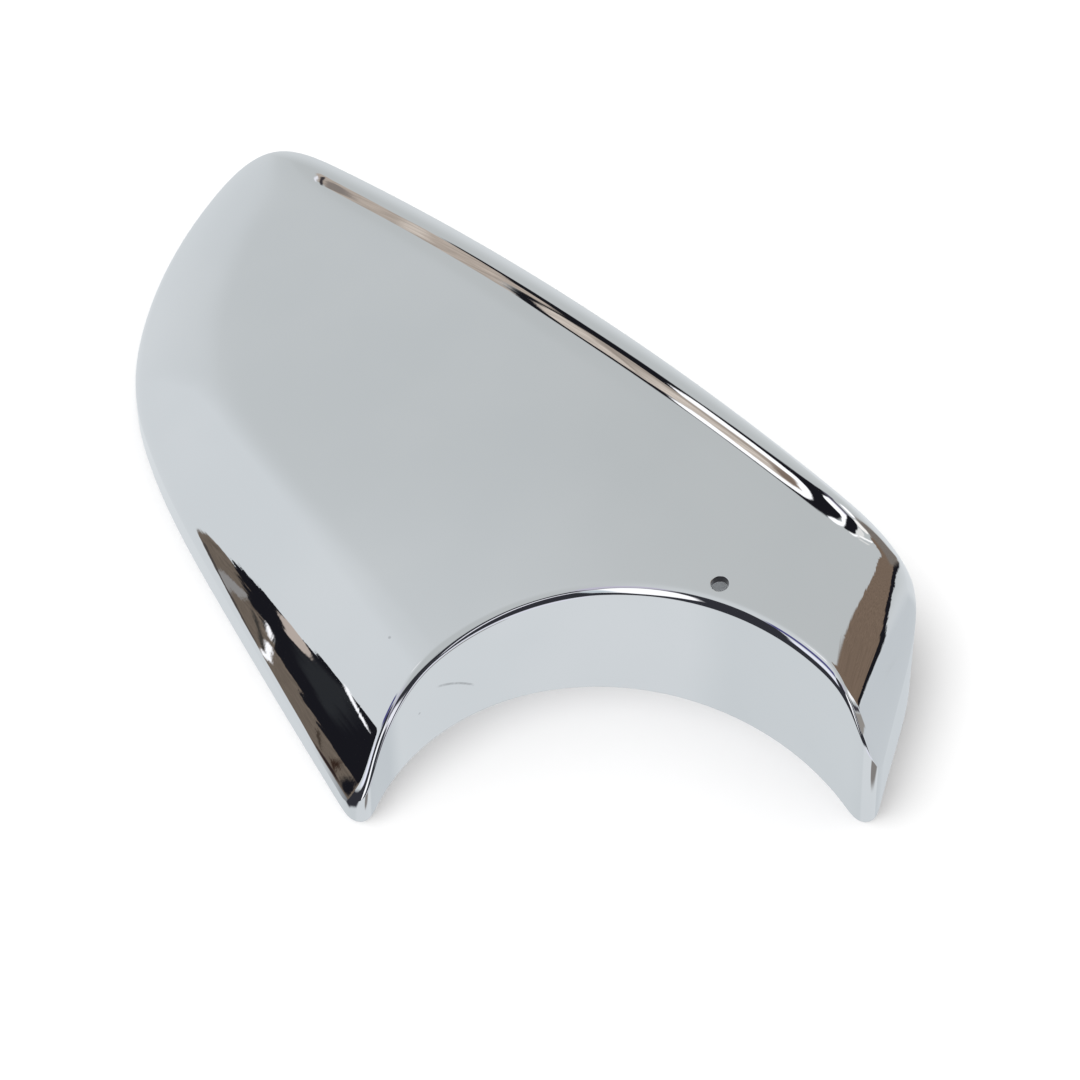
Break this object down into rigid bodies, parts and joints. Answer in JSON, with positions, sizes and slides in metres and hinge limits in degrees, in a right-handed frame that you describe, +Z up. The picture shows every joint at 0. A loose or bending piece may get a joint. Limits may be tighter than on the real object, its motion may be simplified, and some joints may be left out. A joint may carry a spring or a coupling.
{
  "type": "wing mirror cover",
  "caption": "Chromed shell that covers the back of a car's wing mirror, open underneath, with an oval cut-out for the arm and a screw hole.",
  "frame": {"origin": "middle of the footprint's bounding box, on the plane of the rim that the cover rests on", "axes": "+Z up, out of the face; +Y from the cut-out towards the far, upper corner; +X towards the deep end with the screw hole"},
  "size_m": [0.2251, 0.2383, 0.0525],
  "materials": {
    "chrome": "polished chrome plating on moulded plastic, plain inside as well"
  },
  "bodies": {
    "root": {"mirror_cover": "chrome"}
  },
  "joints": []
}
